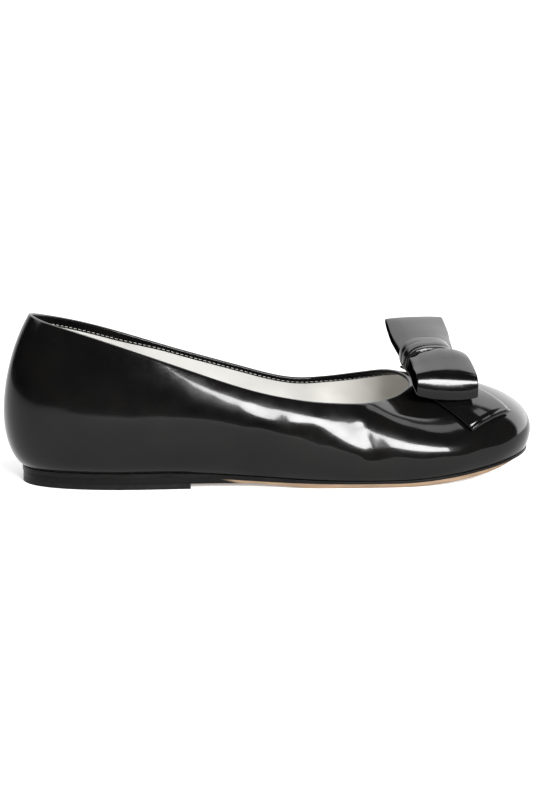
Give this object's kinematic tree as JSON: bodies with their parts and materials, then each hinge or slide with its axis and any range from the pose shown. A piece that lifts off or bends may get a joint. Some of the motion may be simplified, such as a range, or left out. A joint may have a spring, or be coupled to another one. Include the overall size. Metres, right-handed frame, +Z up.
{
  "type": "ballet flat",
  "caption": "Right ballet flat in polished black leather: a hollow low-cut upper on a thin tan leather sole with a low heel, and a soft ribbon bow on the vamp.",
  "frame": {"origin": "middle of the bounding box on the floor, under the waist of the shoe", "axes": "+X from the heel to the toe, +Y from the outer side of the foot to the inner side, +Z up from the floor"},
  "size_m": [0.2454, 0.0798, 0.0773],
  "materials": {
    "upper_leather": "polished smooth black leather, near a mirror gloss",
    "bow_leather": "polished smooth black leather, padded and folded",
    "insole_leather": "smooth ivory lining leather",
    "edge_black": "black-inked leather edge, satin",
    "sole_leather": "natural tan sole leather, matt",
    "heel_rubber": "black rubber, satin"
  },
  "bodies": {
    "root": {"upper": "upper_leather", "insole": "insole_leather", "midsole": "edge_black", "outsole": "sole_leather", "heel": "heel_rubber", "bow_loop_outer": "bow_leather", "bow_loop_inner": "bow_leather", "bow_knot": "bow_leather", "bow_tail_outer": "bow_leather", "bow_tail_inner": "bow_leather"}
  },
  "joints": []
}
